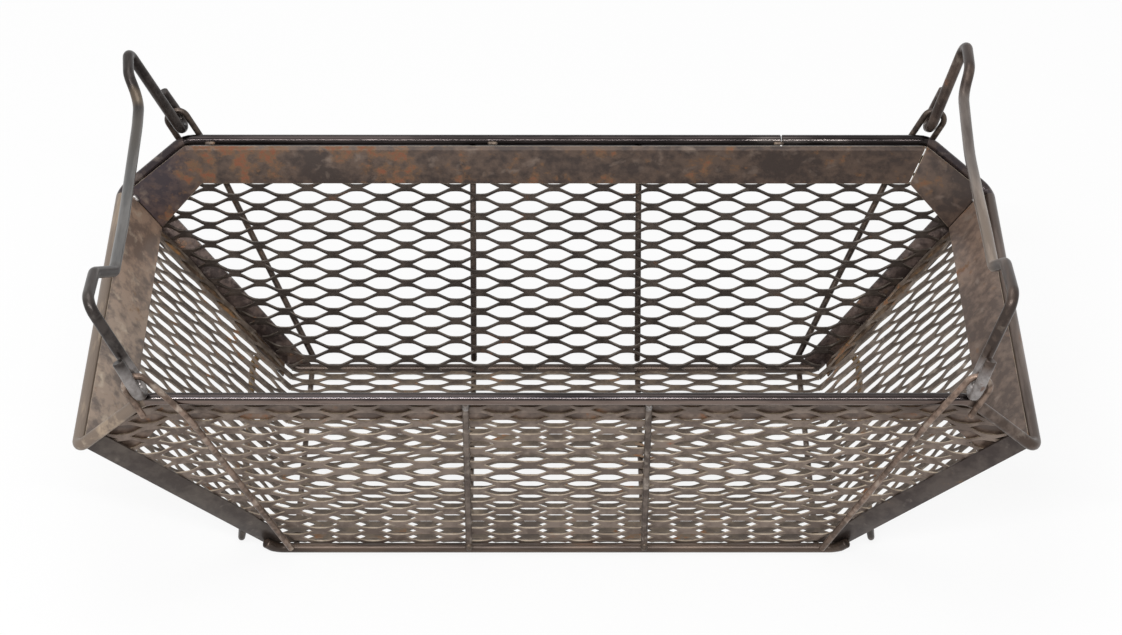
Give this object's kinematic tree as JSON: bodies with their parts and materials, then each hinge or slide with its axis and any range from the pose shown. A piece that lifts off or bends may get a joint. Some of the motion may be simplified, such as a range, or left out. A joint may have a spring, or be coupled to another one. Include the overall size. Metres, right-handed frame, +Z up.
{
  "type": "steel parts basket",
  "caption": "Long open basket of expanded steel mesh with flared walls, a round rod rim over a flat band, slanting eye rods and a swinging rod bail at each end.",
  "frame": {"origin": "on the ground under the middle of the floor bars", "axes": "+Z up, +X along the basket toward the right bail, +Y toward the rear wall"},
  "size_m": [0.5722, 0.3314, 0.2186],
  "materials": {
    "rim_steel": "worn bare steel rod, dark grey with polished edges and brown spots",
    "band_steel": "dark brown steel strip with orange and tan rust",
    "mesh_steel": "flattened expanded steel, brown-grey patina with paler edges",
    "angle_steel": "grey-brown patinated steel",
    "rod_steel": "rusty brown steel rod",
    "bail_steel": "dark steel rod with worn grey hooks",
    "weld_bead": "bright weld bead"
  },
  "bodies": {
    "basket": {"rim_rod": "rim_steel", "rim_band_rear": "band_steel", "rim_band_rear_right": "band_steel", "rim_band_front": "band_steel", "rim_band_left_end": "band_steel", "rim_band_right_end": "band_steel", "front_wall_mesh": "mesh_steel", "rear_wall_mesh": "mesh_steel", "floor_and_ends_mesh": "mesh_steel", "corner_angle_front_left": "angle_steel", "corner_angle_front_right": "angle_steel", "corner_angle_rear_left": "angle_steel", "corner_angle_rear_right": "angle_steel", "base_rail_front": "angle_steel", "base_rail_rear": "angle_steel", "wall_rod_front_left": "rod_steel", "wall_rod_front_right": "rod_steel", "wall_rod_rear_left": "rod_steel", "wall_rod_rear_right": "rod_steel", "eye_rod_front_left": "rod_steel", "eye_rod_front_right": "rod_steel", "eye_rod_rear_left": "rod_steel", "eye_rod_rear_right": "rod_steel", "floor_bar_left_middle": "rod_steel", "floor_bar_left_outer": "rod_steel", "floor_bar_right_middle": "rod_steel", "floor_bar_right_outer": "rod_steel", "foot_loop_left": "rod_steel", "foot_loop_right": "rod_steel", "rim_tack_front_1": "weld_bead", "rim_tack_front_2": "weld_bead", "rim_tack_front_3": "weld_bead", "rim_tack_rear_1": "weld_bead", "rim_tack_rear_2": "weld_bead", "rim_tack_rear_3": "weld_bead", "corner_tack_front_left": "weld_bead", "corner_tack_front_right": "weld_bead", "corner_tack_rear_left": "weld_bead", "corner_tack_rear_right": "weld_bead"},
    "left_bail": {"left_bail": "bail_steel"},
    "right_bail": {"right_bail": "bail_steel"}
  },
  "joints": [
    {"name": "left_bail_swing", "type": "hinge", "parent": "basket", "child": "left_bail", "pos_m": [-0.2416, 0, 0.15485], "axis": [0, 1, 0], "range_deg": [0, 116]},
    {"name": "right_bail_swing", "type": "hinge", "parent": "basket", "child": "right_bail", "pos_m": [0.2416, 0, 0.15485], "axis": [0, -1, 0], "range_deg": [0, 108.5]}
  ]
}
